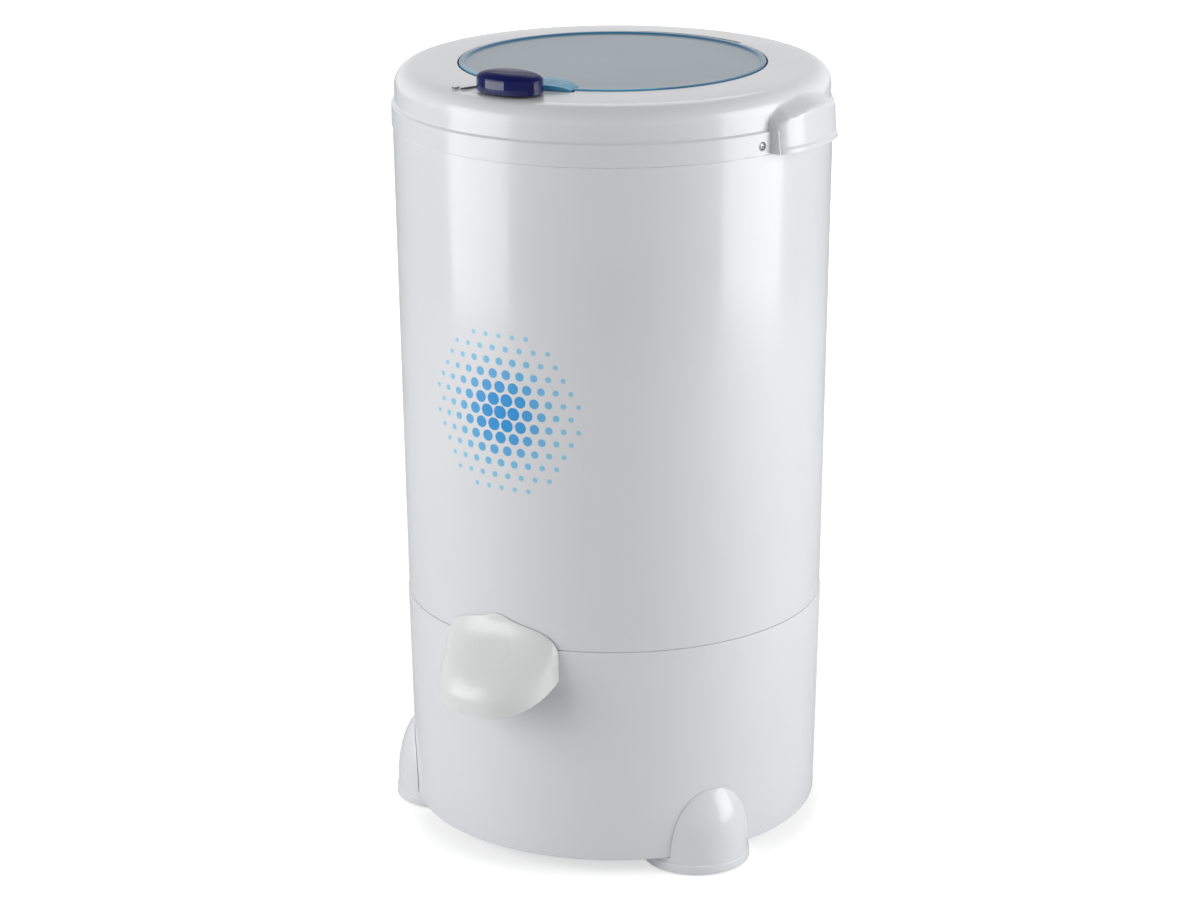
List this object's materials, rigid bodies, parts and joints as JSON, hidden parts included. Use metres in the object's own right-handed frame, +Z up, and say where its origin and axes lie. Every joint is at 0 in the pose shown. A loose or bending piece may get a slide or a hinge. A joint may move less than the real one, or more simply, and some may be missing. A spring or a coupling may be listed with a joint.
{
  "type": "laundry spin dryer",
  "caption": "Free-standing laundry spin dryer: tapered round casing, see-through lid, turning lock knob, perforated basket, motor and front drain spout, with side grips and bell-shaped feet.",
  "frame": {"origin": "on the floor, under the centre of the bounding box", "axes": "+Z up along the casing axis, -Y towards the front with the drain spout and the knob, +X to the right of someone facing the front"},
  "size_m": [0.369, 0.3858, 0.6278],
  "materials": {
    "white_plastic": "glossy white moulded plastic",
    "hood_plastic": "slightly warmer white moulded plastic",
    "lid_plastic": "smoky see-through blue plastic",
    "knob_plastic": "high-gloss navy blue plastic",
    "black_plastic": "matt black plastic",
    "tub_plastic": "matt light grey polypropylene",
    "black_rubber": "matt black rubber",
    "grey_rubber": "matt grey rubber",
    "stainless_steel": "satin stainless steel sheet",
    "zinc_steel": "zinc-plated steel",
    "cast_aluminium": "as-cast aluminium",
    "laminations": "varnished electrical steel",
    "copper": "enamelled copper wire",
    "friction_lining": "brown friction lining"
  },
  "bodies": {
    "housing": {"lower_shell": "white_plastic", "body_shell": "white_plastic", "top_cover": "white_plastic", "spout_hood": "hood_plastic", "foot_front_right": "white_plastic", "foot_front_left": "white_plastic", "foot_rear": "white_plastic", "foot_pad_front_right": "black_rubber", "foot_pad_front_left": "black_rubber", "foot_pad_rear": "black_rubber", "cover_screw_1": "zinc_steel", "cover_screw_2": "zinc_steel", "cover_screw_3": "zinc_steel", "cover_screw_4": "zinc_steel", "lid_seal": "grey_rubber", "hinge_pin_right": "zinc_steel", "hinge_pin_left": "zinc_steel", "switch_body": "black_plastic", "water_tub": "tub_plastic", "splash_ring": "tub_plastic", "neck_seal": "grey_rubber", "shaft_seal": "black_rubber", "drain_hose": "black_rubber", "motor_stator": "laminations", "motor_windings": "copper", "motor_cap_upper": "cast_aluminium", "motor_cap_lower": "cast_aluminium", "bearing_upper": "zinc_steel", "bearing_lower": "zinc_steel", "motor_bracket": "zinc_steel", "rubber_mount_1": "black_rubber", "rubber_mount_2": "black_rubber", "rubber_mount_3": "black_rubber", "capacitor": "black_plastic", "capacitor_clamp": "zinc_steel", "cable_inlet": "black_rubber", "lever_pin": "zinc_steel", "brake_spring": "zinc_steel", "brake_cable": "black_plastic"},
    "lid": {"lid_window": "lid_plastic", "lid_hook": "white_plastic"},
    "knob": {"knob_cap": "knob_plastic", "knob_stem": "black_plastic", "latch_cam": "black_plastic"},
    "plunger": {"switch_plunger": "hood_plastic"},
    "lever": {"brake_lever": "zinc_steel", "brake_shoe": "friction_lining"},
    "drum": {"drum_wall": "stainless_steel", "drum_base": "stainless_steel", "drum_hub": "cast_aluminium", "hub_nut": "zinc_steel", "drum_rim": "tub_plastic", "motor_shaft": "zinc_steel", "motor_rotor": "laminations", "brake_drum": "cast_aluminium", "cooling_fan": "black_plastic"}
  },
  "joints": [
    {"name": "lid_hinge", "type": "hinge", "parent": "housing", "child": "lid", "pos_m": [0, 0.12439, 0.6093], "axis": [-1, 0, 0], "range_deg": [0, 95]},
    {"name": "knob_turn", "type": "hinge", "parent": "housing", "child": "knob", "pos_m": [0, -0.12761, 0.6], "axis": [0, 0, 1], "range_deg": [-60, 0]},
    {"name": "plunger_slide", "type": "slide", "parent": "housing", "child": "plunger", "axis": [-1, 0, 0], "range_m": [0, 0.003]},
    {"name": "lever_pivot", "type": "hinge", "parent": "housing", "child": "lever", "pos_m": [0.0463, 0.06789, 0.1746], "axis": [0, 0, 1], "range_deg": [0, 4]},
    {"name": "drum_spin", "type": "hinge", "parent": "housing", "child": "drum", "pos_m": [0, 0.01339, 0.3], "axis": [0, 0, 1], "continuous": true}
  ],
  "couplings": [
    {"joint": "plunger_slide", "follows": "knob_turn", "m_per_rad": -0.00286},
    {"joint": "lever_pivot", "follows": "knob_turn", "ratio": -0.0666}
  ]
}
